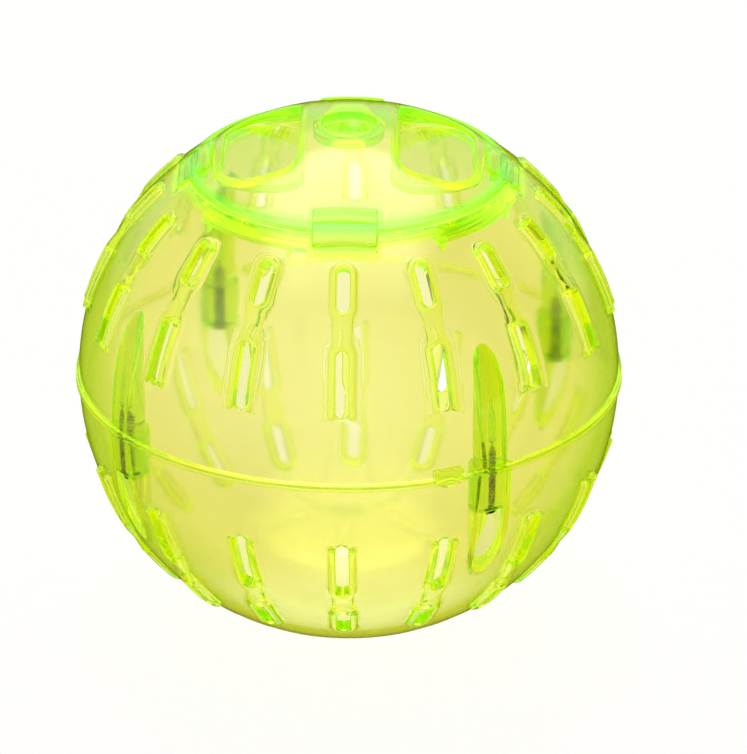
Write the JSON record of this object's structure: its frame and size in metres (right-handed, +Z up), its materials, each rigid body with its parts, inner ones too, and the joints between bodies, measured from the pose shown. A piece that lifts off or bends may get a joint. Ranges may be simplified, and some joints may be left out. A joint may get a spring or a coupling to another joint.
{
  "type": "hamster ball",
  "caption": "Clear plastic exercise ball in two slotted hemispheres screwed together at a lipped seam, with a lift-off lid held by a grip bar between finger wells.",
  "frame": {"origin": "the centre of the ball, on the seam between the two hemispheres", "axes": "+Z up through the lid and its round socket; the front of the ball, with one lid lug on its middle line, faces -Y; +X to the right"},
  "size_m": [0.1416, 0.1416, 0.1396],
  "materials": {
    "shell_plastic": "polished clear polystyrene tinted lime yellow",
    "lid_plastic": "polished clear polystyrene tinted lime yellow",
    "screw_steel": "dark plated self-tapping screw"
  },
  "bodies": {
    "ball": {"upper_shell": "shell_plastic", "lower_shell": "shell_plastic", "screw_front_right": "screw_steel", "screw_back_right": "screw_steel", "screw_back_left": "screw_steel", "screw_front_left": "screw_steel"},
    "lid": {"lid": "lid_plastic"}
  },
  "joints": [
    {"name": "lid_lift", "type": "slide", "parent": "ball", "child": "lid", "axis": [0, 0, 1], "range_m": [0, 0.06]}
  ]
}
